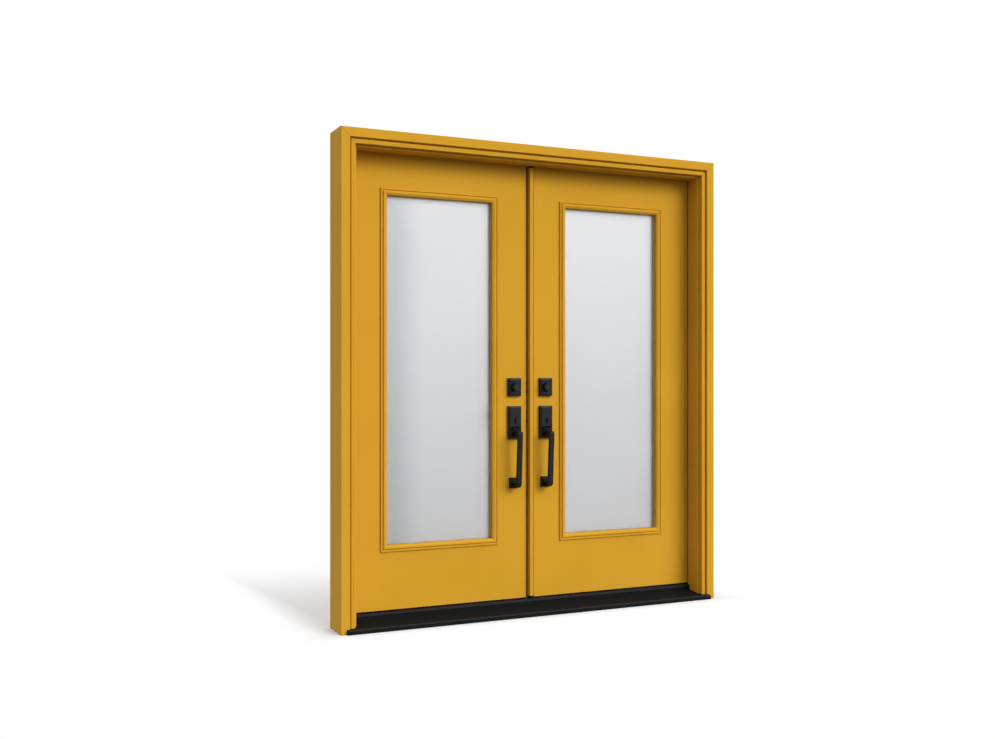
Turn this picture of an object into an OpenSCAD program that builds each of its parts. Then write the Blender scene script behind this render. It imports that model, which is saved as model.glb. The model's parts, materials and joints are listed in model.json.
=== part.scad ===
// Inward-opening exterior double door: a painted frame with mitred casing and a black sill,
// two full-lite leaves with frosted glass, an astragal, butt hinges, deadbolts and grip handles.
// Millimetres. X runs to the right seen from outside, Y runs indoors, Z is up.
// Origin: middle of the sill's underside, in the plane where the casing meets the wall.

/* [Frame] */
// Overall width over the casing
frame_w = 1900; // [1700:10:2200]
// Overall height from the floor to the top of the head casing
frame_h = 2145; // [1950:5:2400]
// Depth of the jambs behind the casing
jamb_d = 132; // [125:1:180]
// Thickness of the jambs at the rabbet that takes the leaves
jamb_t = 64; // [58:1:72]
// Step of the stop that the leaves close against
stop_t = 12; // [10:0.5:15]
// Space between the stop and a closed leaf, for the weatherstrip
seal_gap = 7; // [5:0.5:9]
// Diameter of the holes for the screws that fix the jambs to the wall
fixing_d = 8; // [6:0.5:10]
// Diameter of the counterbores that sink their heads
fixing_head_d = 17; // [14:0.5:20]

/* [Casing] */
// Width of the casing seen from the front
casing_w = 66; // [60:1:72]
// Thickness of the casing at its outer band
casing_t = 30; // [24:1:38]
// Width of the flat outer band
casing_band = 41; // [34:1:44]
// Set-back of the inner band behind the outer band
casing_drop = 8; // [4:0.5:11]
// Width of the round-bottomed quirk between the two bands
quirk_w = 7; // [5:0.5:8]
// Depth of the quirk below the inner band
quirk_d = 8; // [5:0.5:10]
// Open joint at the mitres
mitre_gap = 1; // [0.4:0.1:1.5]
// Width of the casing's foot that stands on the floor beside the sill
casing_toe = 26; // [18:1:32]

/* [Sill] */
// Height of the sill's nose
nose_h = 21; // [16:1:26]
// How far the nose stands in front of the casing
nose_out = 12; // [6:1:20]
// Height of the sloped tread where it meets the upstand
tread_h = 35; // [29:1:39]
// Height of the deck under the threshold cap
deck_h = 47; // [42:1:49]
// Thickness of the threshold cap
cap_t = 12; // [9:0.5:12.5]
// Overhang of the cap's front lip
cap_lip = 6; // [3:0.5:9]
// Distance from the cap's lip back to the face of the leaves
cap_ahead = 21; // [15:1:26]
// Wall of the sill's metal deck
deck_wall = 3; // [2:0.5:4]

/* [Leaves] */
// Thickness of a leaf
leaf_t = 44.5; // [40:0.5:48]
// Extra width of the right leaf, which carries the astragal
astragal_stile = 37; // [20:1:50]
// Height of the underside of the leaves above the floor
leaf_bottom = 65; // [63:0.5:75]
// Gap between a leaf and the rabbet at the hinges and at the head
edge_gap = 3; // [2:0.5:4]
// Gap between the two leaves
meet_gap = 9; // [8:0.5:12]
// Bevel on the long edges of a leaf
leaf_arris = 1.5; // [0.5:0.5:2.5]
// Width of the astragal on the right leaf
astragal_w = 23; // [18:1:30]
// How far the astragal stands in front of the leaf
astragal_out = 20; // [12:1:21]
// Height of the pad under the astragal
pad_h = 14; // [8:1:18]

/* [Glazing] */
// Width of the left leaf on each side of the frame that holds the glass
stile_w = 147; // [116:1:190]
// Leaf height above the glazing frame
top_rail = 161; // [120:1:220]
// Leaf height below the glazing frame
bottom_rail = 255; // [200:1:320]
// Width of the glazing frame's face
lite_border = 29; // [24:1:36]
// How far the glazing frame stands proud of the leaf
lite_out = 9; // [6:0.5:12]
// Width of the glazing frame that laps on to the leaf
lite_lap = 13; // [10:0.5:15]
// Depth of the outer pane behind the outside face of the leaf
pane_set = 19.5; // [14:0.5:22]
// Thickness of one pane
pane_t = 4; // [3:0.5:5]
// Space between the two panes
pane_gap = 10; // [8:0.5:12]
// Bite of the glazing frame over the edge of the glass
glass_bite = 14; // [10:0.5:14]

/* [Hinges] */
// Height of a hinge
hinge_h = 102; // [90:1:120]
// Distance from the top of a leaf to the top hinge
hinge_top = 178; // [120:1:240]
// Distance from the underside of a leaf to the bottom hinge
hinge_bottom = 279; // [180:1:320]
// Reach of a hinge plate across the edge of a leaf
hinge_reach = 36; // [30:1:36]
// Thickness of a hinge plate
hinge_t = 2.8; // [2:0.1:3.4]
// Radius of a hinge plate's corners
hinge_corner = 8; // [4:0.5:12]
// Radius of the knuckles
knuckle_r = 6.5; // [5.5:0.1:6.6]
// Radius of the hinge pins
pin_r = 3.5; // [2.5:0.1:4]
// Distance from the inside face of a leaf to the centre of the pins
pin_out = 7; // [7:0.1:8]

/* [Locks] */
// Distance from the edge of a leaf, or of the astragal, to the middle of the handles
backset = 65; // [60:1:72]
// Height of the latch above the floor
latch_z = 903; // [850:1:1000]
// Height of the deadbolt above the latch
deadbolt_up = 140; // [130:1:150]
// Thickness of a bolt
bolt_w = 12.5; // [10:0.5:13.5]
// Height of a bolt
bolt_h = 20; // [16:0.5:20]
// Throw of the deadbolt
deadbolt_throw = 25; // [20:1:25]
// How far the latch's nose stands out into the gap between the leaves
latch_out = 7; // [4:0.5:7]
// Radius of the bores through the leaf for the locks
lock_bore_r = 27; // [22:1:29]
// Radius of the bores in the edge of the leaf
edge_bore_r = 12.7; // [12.2:0.1:14]
// Width of the plates on the edges of the leaves
edge_plate_w = 26; // [25:0.5:30]
// Height of those plates
edge_plate_h = 58; // [50:1:70]
// Radius of the flush bolts in the right leaf
flush_r = 5; // [4:0.5:6]
// Travel of the flush bolts
flush_travel = 18; // [12:1:18]

/* [Handles] */
// Width of the outside plates
trim_w = 64; // [58:1:70]
// Thickness of the outside plates
trim_t = 16; // [12:0.5:18]
// Width of the bevel round the outside plates
trim_bevel = 8; // [4:0.5:9]
// Fall of that bevel
trim_fall = 3; // [1.5:0.5:4]
// Height of the plate behind the deadbolt's cylinder
deadbolt_trim_h = 83; // [66:1:90]
// Radius of the deadbolt's cylinder
cylinder_r = 18.5; // [15:0.5:20]
// How far the cylinder stands out from the leaf
cylinder_out = 37; // [30:0.5:42]
// Top of the handle plate above the latch
handle_up = 52; // [36:1:54]
// Bottom of the handle plate below the latch
handle_down = 99; // [92:1:120]
// Pivot of the thumb piece below the latch
thumb_down = 49; // [44:1:52]
// Width of the thumb piece
thumb_w = 42; // [34:1:46]
// Top of the grip below the pivot of the thumb piece
grip_drop = 16; // [15:1:24]
// Length of the grip
grip_len = 257; // [220:1:300]
// Width of the grip
grip_w = 24; // [18:1:28]
// Thickness of the grip
grip_t = 14; // [11:0.5:17]
// Bevel on the grip's front corners
grip_bevel = 2.5; // [1:0.5:4]
// Front of the grip at its top, measured from the leaf
grip_out_top = 77; // [66:1:86]
// Front of the grip at its bottom, measured from the leaf
grip_out_low = 63; // [54:1:70]
// Height of the grip's two arms
arm_h = 22; // [18:1:24]
// Side of the grip's square foot
foot_w = 48; // [40:1:54]
// Thickness of the grip's foot
foot_t = 10; // [6:0.5:13]
// Side of the square inside roses
rose_w = 64; // [58:1:72]
// Thickness of the inside roses
rose_t = 9; // [6:0.5:12]
// Length of the inside levers from their pivot
lever_len = 118; // [95:1:130]
// Height of a lever's bar
lever_h = 20; // [16:1:23]
// Thickness of a lever's bar
lever_t = 12; // [9:0.5:15]
// Outside of a lever's bar, measured from the leaf
lever_out = 56; // [48:1:66]

/* [Hidden] */
$fn = 48;
paint = "#d7a334";
black = "#1c1d20";
rubber = "#151515";
frost = "#d3d8d9";
// Seats between pieces of one assembly, sliding gaps between moving pieces, and the pins' fit
seat = 0.2;
slide = 0.3;
pin_fit = 0.05;
// Widths from the middle of the frame
rabbet_x = frame_w / 2 - jamb_t;
stop_x = rabbet_x - stop_t;
sill_x = frame_w / 2 - casing_toe;
leaf_w = rabbet_x - edge_gap - (meet_gap + astragal_stile) / 2;
lite_w = leaf_w - 2 * stile_w;
left_x0 = edge_gap - rabbet_x;
left_x1 = left_x0 + leaf_w;
right_x0 = left_x1 + meet_gap;
right_x1 = rabbet_x - edge_gap;
left_mid = (left_x0 + left_x1) / 2;
right_mid = (right_x0 + right_x1) / 2;
left_lock_x = left_x1 - backset;
right_lock_x = right_x0 + astragal_w + backset;
// Depths
leaf_y0 = jamb_d - leaf_t;
leaf_y1 = jamb_d;
leaf_mid_y = (leaf_y0 + leaf_y1) / 2;
stop_d = leaf_y0 - seal_gap;
nose_y = -casing_t - nose_out;
nose_edge = 5;
cap_y0 = leaf_y0 - cap_ahead;
upstand_y = cap_y0 + cap_lip;
// Heights
head_z = frame_h - jamb_t;
stop_z = head_z - stop_t;
cap_z = deck_h + cap_t;
leaf_z0 = leaf_bottom;
leaf_z1 = head_z - edge_gap;
leaf_h = leaf_z1 - leaf_z0;
lite_h = leaf_h - top_rail - bottom_rail;
lite_z = leaf_z0 + bottom_rail + lite_h / 2;
deadbolt_z = latch_z + deadbolt_up;
thumb_z = latch_z - thumb_down;
astragal_z0 = cap_z + 1 + pad_h;
astragal_z1 = stop_z - 8;
// Hinges: three heights, the middle one half-way
hinge_z0 = leaf_z0 + hinge_bottom + hinge_h / 2;
hinge_z2 = leaf_z1 - hinge_top - hinge_h / 2;
hinge_zs = [hinge_z0, (hinge_z0 + hinge_z2) / 2, hinge_z2];
pin_x = -rabbet_x + edge_gap / 2;
pin_y = leaf_y1 + pin_out;
knuckles = 5;
knuckle_h = hinge_h / knuckles;
// Wall fixings: two pairs of holes in each side jamb, behind the closed leaf
fixing_low = 220;
fixing_high = frame_h - 125;
fixing_mid = (fixing_low + fixing_high) / 2;
fixing_pairs = [(fixing_high - fixing_low) / 2, (fixing_high - fixing_low) / 6];
fixing_back = 18;
fixing_y = leaf_y1 - fixing_back;
fixing_sink = 12;
// Weatherstrip and its saw kerf in the stop
kerf_w = 2.4;
kerf_d = 8.5;
kerf_x = jamb_t + 3;
// Locks
grip_down = thumb_down + grip_drop;
edge_plate_t = 2.5;
bolt_len = 46;
plug_r = 8;
plug_set = 10;
flush_x = right_x0 + 14;
flush_len = 168;
flush_tab_h = 20;
flush_tab_up = 18;

// Helpers

// Sweeps an outline drawn in (Y, Z) along X, centred on X = 0
module along_x(len) {
    rotate([90, 0, 90])
        linear_extrude(len, center = true)
            children();
}

// Sweeps an outline drawn in (X, Z) along Y, from Y = 0 towards +Y
module along_y(len) {
    mirror([0, 1, 0])
        rotate([90, 0, 0])
            linear_extrude(len)
                children();
}

// Round bar along Y, from Y = 0 towards +Y
module rod_y(r, h) {
    rotate([-90, 0, 0])
        cylinder(r = r, h = h);
}

// Round bar along X, from X = 0 towards +X
module rod_x(r, h) {
    rotate([0, 90, 0])
        cylinder(r = r, h = h);
}

// Box between two corners
module box(a, b) {
    translate(a)
        cube(b - a);
}

// Puts a piece on the outside face of a leaf, its own +Y pointing outdoors
module on_face(x, z) {
    translate([x, leaf_y0, z])
        mirror([0, 1, 0])
            children();
}

// Puts a piece on the inside face of a leaf, its own +Y pointing indoors
module on_back(x, z) {
    translate([x, leaf_y1, z])
        children();
}

// Square-cornered plate with a bevelled face, centred in X and Z and standing on Y = 0
module trim_block(w, h, t, bevel, fall) {
    intersection() {
        linear_extrude(h, center = true)
            polygon([
                [-w / 2, 0], [-w / 2, t - fall], [bevel - w / 2, t],
                [w / 2 - bevel, t], [w / 2, t - fall], [w / 2, 0]
            ]);
        along_x(w)
            polygon([
                [0, -h / 2], [t - fall, -h / 2], [t, bevel - h / 2],
                [t, h / 2 - bevel], [t - fall, h / 2], [0, h / 2]
            ]);
    }
}

// Frame

// Casing section: X from the outer edge inwards, Y out from the wall
module casing_profile() {
    inner = casing_t - casing_drop;
    arris = 2;
    bead = (casing_band + quirk_w + casing_w) / 2;
    vee = 0.8;
    difference() {
        union() {
            polygon([
                [0, 0], [0, casing_t - arris], [arris, casing_t],
                [casing_band - arris, casing_t], [casing_band, casing_t - arris], [casing_band, 0]
            ]);
            polygon([
                [0, 0], [0, inner], [bead - vee, inner], [bead, inner - vee], [bead + vee, inner],
                [casing_w - arris, inner], [casing_w, inner - arris], [casing_w, 0]
            ]);
        }
        translate([casing_band + quirk_w / 2, inner - quirk_d + quirk_w / 2])
            union() {
                circle(d = quirk_w);
                translate([-quirk_w / 2, 0])
                    square([quirk_w, quirk_d]);
            }
    }
}

// Upright casing on the left, mitred at the top and cut over the sill at the bottom
module casing_leg() {
    mitre_z = frame_h - sqrt(2) * mitre_gap;
    color(paint)
        difference() {
            translate([-frame_w / 2, 0, 0])
                intersection() {
                    mirror([0, 1, 0])
                        linear_extrude(frame_h)
                            casing_profile();
                    translate([0, -casing_t - 1, 0])
                        along_y(casing_t + 2)
                            polygon([
                                [0, 0], [casing_w, 0], [casing_w, mitre_z - casing_w], [0, mitre_z]
                            ]);
                }
            sill_clearance();
        }
}

module head_casing() {
    color(paint)
        intersection() {
            translate([-frame_w / 2, 0, frame_h])
                mirror([0, 1, 0])
                    rotate([0, 90, 0])
                        linear_extrude(frame_w)
                            casing_profile();
            translate([0, -casing_t - 1, frame_h])
                along_y(casing_t + 2)
                    polygon([
                        [-frame_w / 2, 0], [frame_w / 2, 0],
                        [frame_w / 2 - casing_w, -casing_w], [casing_w - frame_w / 2, -casing_w]
                    ]);
        }
}

// Jamb section: X from the outer side inwards, Y from the wall plane indoors
module jamb_profile() {
    difference() {
        polygon([
            [0, 0], [jamb_t + stop_t, 0], [jamb_t + stop_t, stop_d],
            [jamb_t, stop_d], [jamb_t, jamb_d], [0, jamb_d]
        ]);
        translate([kerf_x, stop_d - kerf_d])
            square([kerf_w, kerf_d + 1]);
    }
}

// Side jamb on the left, with hinge seats, wall fixings and its foot cut over the sill
module side_jamb() {
    color(paint)
        difference() {
            translate([-frame_w / 2, 0, 0])
                linear_extrude(frame_h)
                    jamb_profile();
            sill_clearance();
            for (z = hinge_zs)
                translate([-rabbet_x - (hinge_t + seat) / 2 + 0.5, 0, z])
                    along_x(hinge_t + seat + 1)
                        hinge_outline(seat);
            for (s = fixing_pairs)
                for (k = [-1, 1])
                    translate([-frame_w / 2 - 1, fixing_y, fixing_mid + k * s]) {
                        rod_x(fixing_d / 2, jamb_t + 2);
                        translate([jamb_t + 1 - fixing_sink, 0, 0])
                            rod_x(fixing_head_d / 2, fixing_sink + 1);
                    }
        }
}

// Head jamb, cut to fit between the side jambs, with the top flush bolt's socket
module head_jamb() {
    color(paint)
        difference() {
            translate([-frame_w / 2, 0, frame_h])
                rotate([0, 90, 0])
                    linear_extrude(frame_w)
                        jamb_profile();
            for (m = [0, 1])
                mirror([m, 0, 0])
                    translate([-frame_w / 2, 0, leaf_z0])
                        linear_extrude(frame_h)
                            polygon([
                                [-1, -1], [jamb_t + stop_t, -1], [jamb_t + stop_t, stop_d],
                                [jamb_t, stop_d], [jamb_t, jamb_d + 1], [-1, jamb_d + 1]
                            ]);
            translate([flush_x, leaf_mid_y, head_z - 1])
                cylinder(r = flush_r + 2 * slide, h = flush_travel + 6);
        }
}

// Outline of the sill in (Y, Z), drawn in by a wall thickness on its upper side
module sill_outline(wall) {
    polygon([
        [nose_y + wall, 0], [nose_y + wall, nose_h - nose_edge],
        [nose_y + max(nose_edge, wall), nose_h - wall],
        [upstand_y + wall, tread_h - wall],
        [upstand_y + wall, deck_h - wall], [jamb_d - wall, deck_h - wall], [jamb_d - wall, 0]
    ]);
}

// What the left jamb and casing give up to sit over the sill
module sill_clearance() {
    translate([-sill_x / 2 - seat, 0, 0])
        along_x(sill_x)
            polygon([
                [nose_y - 1, -1], [nose_y - 1, nose_h + seat], [nose_y + nose_edge, nose_h + seat],
                [upstand_y - seat, tread_h + seat], [upstand_y - seat, deck_h + seat],
                [jamb_d + 1, deck_h + seat], [jamb_d + 1, -1]
            ]);
}

// Metal sill: sloped tread with drip grooves, upstand and deck
module sill_deck() {
    groove = 1.6;
    slope = atan2(tread_h - nose_h, upstand_y - nose_y - nose_edge);
    end_r = 5;
    color(black)
        difference() {
            along_x(2 * sill_x)
                sill_outline(0);
            translate([0, 0, -1])
                along_x(2 * sill_x + 2)
                    sill_outline(deck_wall);
            along_x(2 * sill_x + 2)
                sill_outline(deck_wall);
            for (k = [1, 2.6])
                translate([0, nose_y + nose_edge + 4 * k, nose_h + 4 * k * tan(slope)])
                    rotate([slope, 0, 0])
                        cube([2 * sill_x + 2, groove, groove], center = true);
            for (m = [0, 1])
                mirror([m, 0, 0])
                    translate([sill_x - end_r, nose_y - 1, nose_h - end_r])
                        difference() {
                            cube([end_r + 1, nose_out + 1, end_r + 3]);
                            translate([0, -1, 0])
                                rod_y(end_r, nose_out + 3);
                        }
        }
}

// Filler under the metal deck
module sill_core() {
    color("#2b2622")
        along_x(2 * sill_x - 2)
            sill_outline(deck_wall + seat);
}

// Raised cap under the leaves, with its lip and the bottom flush bolt's socket
module threshold_cap() {
    edge = 3;
    color(black)
        difference() {
            along_x(2 * (rabbet_x - seat))
                polygon([
                    [cap_y0, deck_h + 1], [cap_y0, cap_z - edge], [cap_y0 + edge, cap_z],
                    [jamb_d - 2 - edge, cap_z], [jamb_d - 2, cap_z - edge], [jamb_d - 2, deck_h],
                    [upstand_y + 1, deck_h], [upstand_y + 1, deck_h + 1]
                ]);
            for (m = [0, 1])
                mirror([m, 0, 0])
                    box([stop_x - seat, cap_y0 - 1, deck_h - 1], [rabbet_x + 1, leaf_y0, cap_z + 1]);
            translate([flush_x, leaf_mid_y, deck_h - 1])
                cylinder(r = flush_r + 2 * slide, h = cap_t + 2);
        }
}

// Weatherstrip section in the jamb's own axes: a bulb on the stop and a barb in the kerf
module strip_profile() {
    bulb = seal_gap - 0.5;
    union() {
        polygon([
            [jamb_t + 0.5, stop_d], [jamb_t + 0.5, stop_d + bulb - 1], [jamb_t + 1.5, stop_d + bulb],
            [jamb_t + stop_t - 3, stop_d + bulb], [jamb_t + stop_t - 1, stop_d + bulb - 2],
            [jamb_t + stop_t - 1, stop_d]
        ]);
        translate([kerf_x + seat, stop_d - kerf_d + 0.5])
            square([kerf_w - 2 * seat, kerf_d]);
    }
}

module side_strip() {
    color(rubber)
        translate([-frame_w / 2, 0, deck_h + seat])
            linear_extrude(head_z - deck_h - 2 * seat)
                strip_profile();
}

module head_weatherstrip() {
    color(rubber)
        translate([-stop_x, 0, frame_h])
            rotate([0, 90, 0])
                linear_extrude(2 * stop_x)
                    strip_profile();
}

// Leaves

// Blank leaf with bevelled long edges
module slab_blank(x0, x1) {
    a = leaf_arris;
    translate([0, 0, leaf_z0])
        linear_extrude(leaf_h)
            polygon([
                [x0 + a, leaf_y0], [x1 - a, leaf_y0], [x1, leaf_y0 + a], [x1, leaf_y1 - a],
                [x1 - a, leaf_y1], [x0 + a, leaf_y1], [x0, leaf_y1 - a], [x0, leaf_y0 + a]
            ]);
}

// Hole in a leaf for the glass and the frame round it
module lite_hole(mid) {
    w = lite_w - 2 * lite_lap;
    h = lite_h - 2 * lite_lap;
    translate([mid - w / 2, leaf_y0 - 1, lite_z - h / 2])
        cube([w, leaf_t + 2, h]);
}

// Seats for the hinge plates in the edge of the left leaf
module hinge_seats() {
    for (z = hinge_zs)
        translate([left_x0 + (hinge_t + seat) / 2 - 0.5, 0, z])
            along_x(hinge_t + seat + 1)
                hinge_outline(seat);
}

// Edge plate's seat, centred on the middle of the leaf's thickness
module edge_plate_seat(x, z) {
    translate([x, leaf_mid_y, z])
        cube([2 * edge_plate_t, edge_plate_w + 2 * seat, edge_plate_h + 2 * seat], center = true);
}

module left_slab() {
    color(paint)
        difference() {
            slab_blank(left_x0, left_x1);
            lite_hole(left_mid);
            hinge_seats();
            for (z = [latch_z, deadbolt_z]) {
                translate([left_lock_x, leaf_y0 - 1, z])
                    rod_y(lock_bore_r, leaf_t + 2);
                translate([left_lock_x, leaf_mid_y, z])
                    rod_x(edge_bore_r, backset + 1);
                edge_plate_seat(left_x1, z);
            }
        }
}

// Slot for a flush bolt's thumb tab, from the edge of the leaf to the bolt's bore
module flush_slot(z0, z1) {
    box([right_x0 - 1, leaf_mid_y - 3 - slide, z0], [flush_x, leaf_mid_y + 3 + slide, z1]);
}

module right_slab() {
    bore = flush_len + flush_travel;
    color(paint)
        difference() {
            slab_blank(right_x0, right_x1);
            lite_hole(right_mid);
            mirror([1, 0, 0])
                hinge_seats();
            for (z = [latch_z, deadbolt_z]) {
                edge_plate_seat(right_x0, z);
                translate([right_x0, leaf_mid_y, z])
                    cube([2 * (deadbolt_throw - meet_gap + 5), bolt_w + 2, bolt_h + 2], center = true);
            }
            translate([flush_x, leaf_mid_y, leaf_z1 - flush_len - 2])
                cylinder(r = flush_r + slide, h = bore);
            translate([flush_x, leaf_mid_y, leaf_z0 + flush_len + 2 - bore])
                cylinder(r = flush_r + slide, h = bore);
            flush_slot(leaf_z1 - flush_len + flush_tab_up - 1,
                leaf_z1 - flush_len + flush_tab_up + flush_tab_h + flush_travel + 1);
            flush_slot(leaf_z0 + flush_len - flush_tab_up - flush_tab_h - flush_travel - 1,
                leaf_z0 + flush_len - flush_tab_up + 1);
        }
}

// Glazing frame section: X from its outer edge towards the glass, Y proud of the leaf;
// the lip behind the face goes into the leaf and bears on the glass
module lite_profile(lip) {
    lap = lite_lap + 0.5;
    arris = lite_out / 9;
    bead = lite_border * 0.16;
    rim = lite_out * 0.75;
    cove = lite_border * 0.27;
    ridge = bead + cove;
    slope = lite_border * 0.31;
    difference() {
        polygon([
            [0, 0], [0, rim - arris], [arris, rim], [ridge, rim], [ridge, lite_out - arris],
            [ridge + arris, lite_out], [lite_border - slope, lite_out],
            [lite_border, lite_out * 0.4], [lite_border, -lip], [lap, -lip], [lap, 0]
        ]);
        translate([bead + cove / 2, rim])
            circle(d = cove);
    }
}

// Left upright of a glazing frame, mitred at both ends
module lite_side(w, h, lip) {
    intersection() {
        translate([-w / 2, 0, 0])
            linear_extrude(h, center = true)
                lite_profile(lip);
        translate([0, -lip - 1, 0])
            along_y(lip + lite_out + 2)
                polygon([
                    [-w / 2, -h / 2], [lite_border - w / 2, lite_border - h / 2],
                    [lite_border - w / 2, h / 2 - lite_border], [-w / 2, h / 2]
                ]);
    }
}

// Whole glazing frame, its face towards +Y
module lite_ring(lip) {
    union() {
        lite_side(lite_w, lite_h, lip);
        mirror([1, 0, 0])
            lite_side(lite_w, lite_h, lip);
        rotate([0, 90, 0])
            lite_side(lite_h, lite_w, lip);
        rotate([0, -90, 0])
            lite_side(lite_h, lite_w, lip);
    }
}

module outer_lite_frame(mid) {
    color(paint)
        on_face(mid, lite_z)
            lite_ring(pane_set);
}

module inner_lite_frame(mid) {
    color(paint)
        on_back(mid, lite_z)
            lite_ring(leaf_t - pane_set - 2 * pane_t - pane_gap);
}

// Width and height of the glass
glass_w = lite_w - 2 * (lite_border - glass_bite);
glass_h = lite_h - 2 * (lite_border - glass_bite);

module glass_panes(mid) {
    color(frost)
        for (y = [0, pane_t + pane_gap])
            translate([mid - glass_w / 2, leaf_y0 + pane_set + y, lite_z - glass_h / 2])
                cube([glass_w, pane_t, glass_h]);
}

// Spacer bar that keeps the two panes apart, hidden by the glazing frames
module glass_spacer(mid) {
    inset = 2;
    bar = 9;
    color("#8f9496")
        translate([mid, leaf_y0 + pane_set + pane_t, lite_z])
            along_y(pane_gap)
                difference() {
                    square([glass_w - 2 * inset, glass_h - 2 * inset], center = true);
                    square([glass_w - 2 * (inset + bar), glass_h - 2 * (inset + bar)], center = true);
                }
}

// Finned sweep under a leaf; the right one lets the flush bolt through
module sweep(x0, x1, bolt) {
    base = 2.5;
    fin_z = cap_z + 0.6;
    color(rubber)
        difference() {
            translate([(x0 + x1) / 2, 0, 0])
                along_x(x1 - x0 - 2)
                    union() {
                        translate([leaf_y0 + 3, leaf_z0 - base])
                            square([leaf_t - 8, base]);
                        for (y = [leaf_y0 + 3, leaf_mid_y - 1, leaf_y1 - 7])
                            translate([y, fin_z])
                                square([2, leaf_z0 - fin_z]);
                    }
            if (bolt)
                translate([flush_x, leaf_mid_y, cap_z])
                    cylinder(r = flush_r + 2 * slide, h = leaf_z0);
        }
}

// Bulb seal on the meeting edge of the left leaf, towards indoors
module meeting_seal() {
    bulb = meet_gap - 3.5;
    color(rubber)
        translate([left_x1, leaf_y1 - 12, leaf_z0 + 1])
            linear_extrude(leaf_h - 2)
                polygon([[0, 0], [bulb - 1.5, 0], [bulb, 1.5], [bulb, 7.5], [bulb - 1.5, 9], [0, 9]]);
}

// Hinges

// Outline of a hinge plate in (Y, Z): square at the knuckles, round corners at the far side
module hinge_outline(grow) {
    y0 = leaf_y1 - hinge_reach - grow;
    h = hinge_h + 2 * grow;
    r = hinge_corner;
    translate([y0 + r, -h / 2])
        square([leaf_y1 - y0 - r + (grow > 0 ? 1 : 0), h]);
    translate([y0, r - h / 2])
        square([2 * r, h - 2 * r]);
    for (k = [-1, 1])
        translate([y0 + r, k * (h / 2 - r)])
            circle(r = r);
}

// One side of the left hinges: the plate, and every other knuckle from the first given
module hinge_side(plate_x, first) {
    color(black)
        for (z = hinge_zs)
            translate([0, 0, z])
                difference() {
                    union() {
                        translate([plate_x, 0, 0])
                            along_x(hinge_t)
                                hinge_outline(0);
                        for (i = [first:2:knuckles - 1])
                            translate([0, 0, i * knuckle_h - hinge_h / 2 + seat]) {
                                translate([pin_x, pin_y, 0])
                                    cylinder(r = knuckle_r, h = knuckle_h - 2 * seat);
                                translate([plate_x - hinge_t / 2, leaf_y1 - 2, 0])
                                    cube([hinge_t, pin_out + 2, knuckle_h - 2 * seat]);
                            }
                    }
                    translate([pin_x, pin_y, -hinge_h])
                        cylinder(r = pin_r + pin_fit, h = 2 * hinge_h);
                }
}

module hinge_jamb_plates() {
    hinge_side(-rabbet_x - hinge_t / 2, 0);
}

module hinge_leaf_plates() {
    hinge_side(left_x0 + hinge_t / 2, 1);
}

// Pins with a domed head on top of the knuckles and a tip below them
module hinge_pins() {
    cap = 3;
    color(black)
        for (z = hinge_zs)
            translate([pin_x, pin_y, z]) {
                rotate_extrude()
                    polygon([
                        [0, -hinge_h / 2 - cap], [knuckle_r - 2, -hinge_h / 2 - cap],
                        [knuckle_r - 0.5, -hinge_h / 2 - 1], [knuckle_r - 0.5, seat / 2 - hinge_h / 2],
                        [pin_r, seat / 2 - hinge_h / 2], [pin_r, hinge_h / 2 - seat / 2],
                        [knuckle_r - 0.5, hinge_h / 2 - seat / 2], [knuckle_r - 0.5, hinge_h / 2 + 1],
                        [knuckle_r - 2, hinge_h / 2 + cap], [0, hinge_h / 2 + cap]
                    ]);
            }
}

// Locks and handles

module deadbolt_plate(x) {
    color(black)
        on_face(x, deadbolt_z)
            difference() {
                trim_block(trim_w, deadbolt_trim_h, trim_t, trim_bevel, trim_fall);
                translate([0, -1, 0])
                    rod_y(cylinder_r + slide, trim_t + 2);
            }
}

// Turned cylinder: a collar that flares on to the plate, a bevelled rim and a seat for the key plug
module deadbolt_cylinder(x) {
    flare = 2.5;
    color(black)
        on_face(x, deadbolt_z)
            rotate([-90, 0, 0])
                rotate_extrude()
                    polygon([
                        [0, 0], [cylinder_r, 0], [cylinder_r, trim_t + seat],
                        [cylinder_r + flare, trim_t + seat], [cylinder_r, cylinder_out - 1],
                        [cylinder_r - 1, cylinder_out], [plug_r + 2, cylinder_out],
                        [plug_r + slide, cylinder_out - 1.5], [plug_r + slide, cylinder_out - plug_set],
                        [0, cylinder_out - plug_set]
                    ]);
}

// Key plug with its keyway
module key_plug(x) {
    color("#3a3b3e")
        on_face(x, deadbolt_z)
            translate([0, cylinder_out - plug_set, 0])
                difference() {
                    rod_y(plug_r, plug_set - 1);
                    translate([-0.9, plug_set - 6, -4.5])
                        cube([1.8, 6, 9]);
                }
}

// Handle plate with a keyhole-shaped hollow and the slot of the thumb piece
module handle_plate(x) {
    h = handle_up + handle_down;
    hole_r = 7.5;
    hole_z = -16;
    hole_d = 8;
    back = 3;
    color(black)
        on_face(x, latch_z)
            difference() {
                translate([0, 0, (handle_up - handle_down) / 2])
                    trim_block(trim_w, h, trim_t, trim_bevel, trim_fall);
                translate([0, trim_t - hole_d, hole_z])
                    along_y(hole_d + 1)
                        union() {
                            translate([0, 5])
                                circle(r = hole_r);
                            polygon([[-hole_r, 5], [-3, -13], [3, -13], [hole_r, 5]]);
                        }
                box([-thumb_w / 2 - slide, back, -thumb_down - 6.5],
                    [thumb_w / 2 + slide, trim_t + 1, -thumb_down + 6]);
                translate([-thumb_w / 2 - pivot_end - 1, thumb_pivot_y, -thumb_down])
                    rod_x(pivot_r + slide, thumb_w + 2 * pivot_end + 2);
            }
}

// Thumb piece: flat in its slot, then bent down towards the thumb, its tip rounded;
// it turns on a pin whose ends lie in the handle plate
thumb_out = 19;
thumb_drop = 6.5;
thumb_t = 4;
thumb_pivot_y = trim_t / 2;
pivot_r = 2.5;
pivot_end = 4;

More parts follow.
